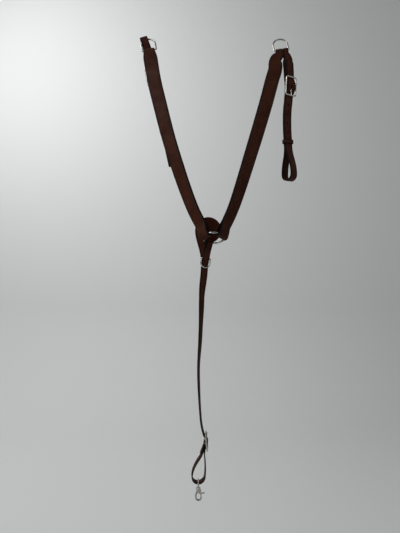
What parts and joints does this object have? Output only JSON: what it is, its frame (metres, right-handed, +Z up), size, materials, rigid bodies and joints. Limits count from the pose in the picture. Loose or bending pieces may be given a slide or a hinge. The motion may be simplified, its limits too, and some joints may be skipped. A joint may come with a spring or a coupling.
{
  "type": "western breast collar",
  "caption": "Western horse breast collar: two lined shoulder straps on a centre ring, buckled tugs with end loops, and a buckled girth strap with tie-down dee and swivel snap.",
  "frame": {"origin": "on the wall plane, midway between the two pegs that the shoulder dees hang on", "axes": "+Z up, +Y toward the wall (the horse's side), +X to the viewer's right"},
  "size_m": [0.4246, 0.0768, 1.2636],
  "materials": {
    "strap_leather": "satin oiled, burnished edges",
    "safe_leather": "satin oiled",
    "lining": "matt flesh side",
    "nickel": "polished nickel plate"
  },
  "bodies": {
    "ring": {"centre_ring": "nickel"},
    "left_shoulder": {"left_shoulder_strap": "strap_leather", "left_shoulder_lining": "lining"},
    "right_shoulder": {"right_shoulder_strap": "strap_leather", "right_shoulder_lining": "lining"},
    "left_dee": {"left_dee": "nickel"},
    "right_dee": {"right_dee": "nickel"},
    "left_tug": {"left_tug_strap": "strap_leather", "left_tug_buckle_frame": "nickel"},
    "right_tug": {"right_tug_strap": "strap_leather", "right_tug_buckle_frame": "nickel"},
    "left_tug_tongue": {"left_tug_buckle_tongue": "nickel"},
    "right_tug_tongue": {"right_tug_buckle_tongue": "nickel"},
    "left_tug_keeper": {"left_tug_keeper": "strap_leather"},
    "right_tug_keeper": {"right_tug_keeper": "strap_leather"},
    "girth": {"girth_strap": "strap_leather", "ring_safe": "safe_leather", "girth_buckle_frame": "nickel"},
    "tie_down_dee": {"tie_down_dee": "nickel"},
    "girth_tongue": {"girth_buckle_tongue": "nickel"},
    "snap_eye": {"snap_eye": "nickel"},
    "snap_body": {"snap_body": "nickel", "snap_pin": "nickel"},
    "snap_lever": {"snap_lever": "nickel"}
  },
  "joints": [
    {"name": "left_shoulder_swing", "type": "hinge", "parent": "ring", "child": "left_shoulder", "pos_m": [-0.0046, -0.041, -0.5326], "axis": [0, -0.4067, -0.9135], "range_deg": [-6, 25]},
    {"name": "right_shoulder_swing", "type": "hinge", "parent": "ring", "child": "right_shoulder", "pos_m": [-0.0046, -0.041, -0.5326], "axis": [0, 0.4067, 0.9135], "range_deg": [-6, 25]},
    {"name": "left_dee_turn", "type": "hinge", "parent": "left_shoulder", "child": "left_dee", "pos_m": [-0.1765, -0.026, -0.0275], "axis": [0.9877, 0, 0.1564], "range_deg": [0, 60]},
    {"name": "right_dee_turn", "type": "hinge", "parent": "right_shoulder", "child": "right_dee", "pos_m": [0.1796, -0.026, -0.028], "axis": [0.9903, 0, 0.1392], "range_deg": [-30, 90]},
    {"name": "left_tug_swing", "type": "hinge", "parent": "left_dee", "child": "left_tug", "pos_m": [-0.17943, -0.01991, -0.00899], "axis": [-0.0483, -0.9511, 0.3052], "range_deg": [-20, 0]},
    {"name": "right_tug_swing", "type": "hinge", "parent": "right_dee", "child": "right_tug", "pos_m": [0.1796, -0.026, -0.028], "axis": [0.9903, 0, 0.1392], "range_deg": [-100, 30]},
    {"name": "left_tug_tongue_lift", "type": "hinge", "parent": "left_tug", "child": "left_tug_tongue", "pos_m": [-0.1694, -0.01269, -0.09353], "axis": [-0.9749, -0.0522, -0.2163], "range_deg": [0, 7]},
    {"name": "right_tug_tongue_lift", "type": "hinge", "parent": "right_tug", "child": "right_tug_tongue", "pos_m": [0.20232, -0.02591, -0.12496], "axis": [-0.9122, -0.4072, 0.0459], "range_deg": [0, 20]},
    {"name": "left_tug_keeper_slide", "type": "slide", "parent": "left_tug", "child": "left_tug_keeper", "axis": [0.2372, -0.0005, -0.9715], "range_m": [-0.05, 0.003]},
    {"name": "right_tug_keeper_slide", "type": "slide", "parent": "right_tug", "child": "right_tug_keeper", "axis": [0.0549, 0, -0.9985], "range_m": [-0.03, 0.003]},
    {"name": "girth_swing", "type": "hinge", "parent": "ring", "child": "girth", "pos_m": [-0.0158, -0.01691, -0.54333], "axis": [-0.9205, -0.357, 0.1589], "range_deg": [-3, 40]},
    {"name": "tie_down_dee_turn", "type": "hinge", "parent": "girth", "child": "tie_down_dee", "pos_m": [-0.02379, -0.01711, -0.58561], "axis": [-0.9501, -0.2619, 0.1698], "range_deg": [0, 150]},
    {"name": "girth_tongue_lift", "type": "hinge", "parent": "girth", "child": "girth_tongue", "pos_m": [-0.02579, -0.01349, -1.08285], "axis": [0.0682, 0.9977, 0.0061], "range_deg": [0, 20]},
    {"name": "snap_swing", "type": "hinge", "parent": "girth", "child": "snap_eye", "pos_m": [-0.04442, -0.0135, -1.1769], "axis": [-0.0869, 0.9962, 0.0049], "range_deg": [-25, 25]},
    {"name": "snap_swivel", "type": "hinge", "parent": "snap_eye", "child": "snap_body", "pos_m": [-0.04464, -0.0135, -1.2088], "axis": [0, 0, 1], "continuous": true},
    {"name": "snap_lever_press", "type": "hinge", "parent": "snap_body", "child": "snap_lever", "pos_m": [-0.04004, -0.0135, -1.2203], "axis": [0, 1, 0], "range_deg": [0, 25], "stiffness_Nm_per_rad": 0.02, "springref_deg": -17.19}
  ]
}
